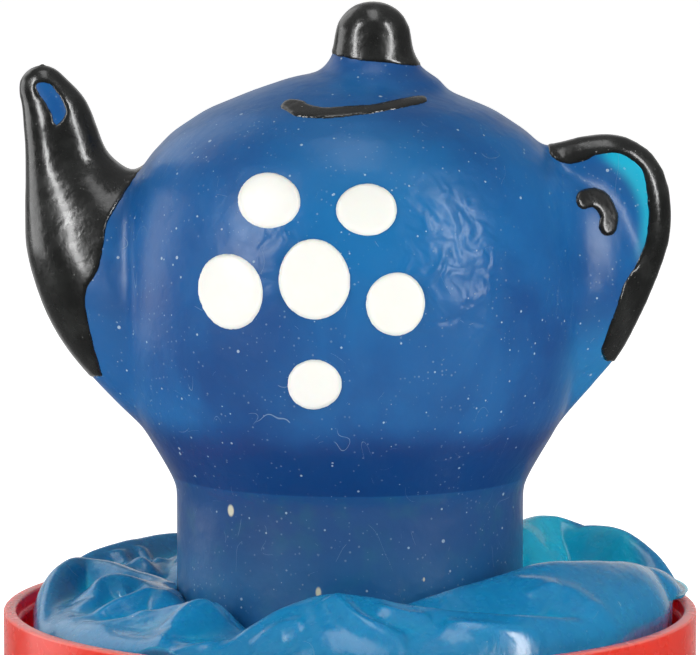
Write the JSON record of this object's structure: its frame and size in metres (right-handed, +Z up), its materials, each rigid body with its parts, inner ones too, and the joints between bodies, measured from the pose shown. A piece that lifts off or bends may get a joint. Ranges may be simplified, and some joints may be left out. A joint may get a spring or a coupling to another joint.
{
  "type": "novelty teapot figure in tub",
  "caption": "Hollow dipped-latex teapot figure with painted spout, knob, handle line and dots, standing on its bunched thin sleeve in a round plastic tub.",
  "frame": {"origin": "centre of the tub's base, on the surface that the tub stands on", "axes": "+Z up along the tub's axis, +X towards the handle, -X towards the spout, -Y towards the side with the painted dots"},
  "size_m": [0.066, 0.066, 0.0916],
  "materials": {
    "red_plastic": "glossy moulded polystyrene, slightly translucent at its edges",
    "thick_latex": "translucent dark blue dipped latex, satin gloss with dust and fine scratches",
    "thin_latex": "thin cyan blue dipped latex, glossy and gathered in soft folds",
    "black_paint": "black latex paint, satin, worn at its edges",
    "white_paint": "thick creamy white latex paint, smooth and faintly glossy"
  },
  "bodies": {
    "tub": {"tub": "red_plastic"},
    "sleeve": {"sleeve_bunch": "thin_latex", "rim_bead": "thin_latex"},
    "figure": {"teapot_shell": "thick_latex", "spout_coat": "black_paint", "knob_coat": "black_paint", "handle_stripe": "black_paint", "handle_hook": "black_paint", "lid_line": "black_paint", "dot_1": "white_paint", "dot_2": "white_paint", "dot_3": "white_paint", "dot_4": "white_paint", "dot_5": "white_paint", "dot_6": "white_paint"}
  },
  "joints": [
    {"name": "figure_lift", "type": "slide", "parent": "tub", "child": "sleeve", "axis": [0, 0, 1], "range_m": [0, 0.045]},
    {"name": "figure_turn", "type": "hinge", "parent": "sleeve", "child": "figure", "pos_m": [0, 0, 0.04], "axis": [0, 0, 1], "range_deg": [-90, 90]}
  ]
}
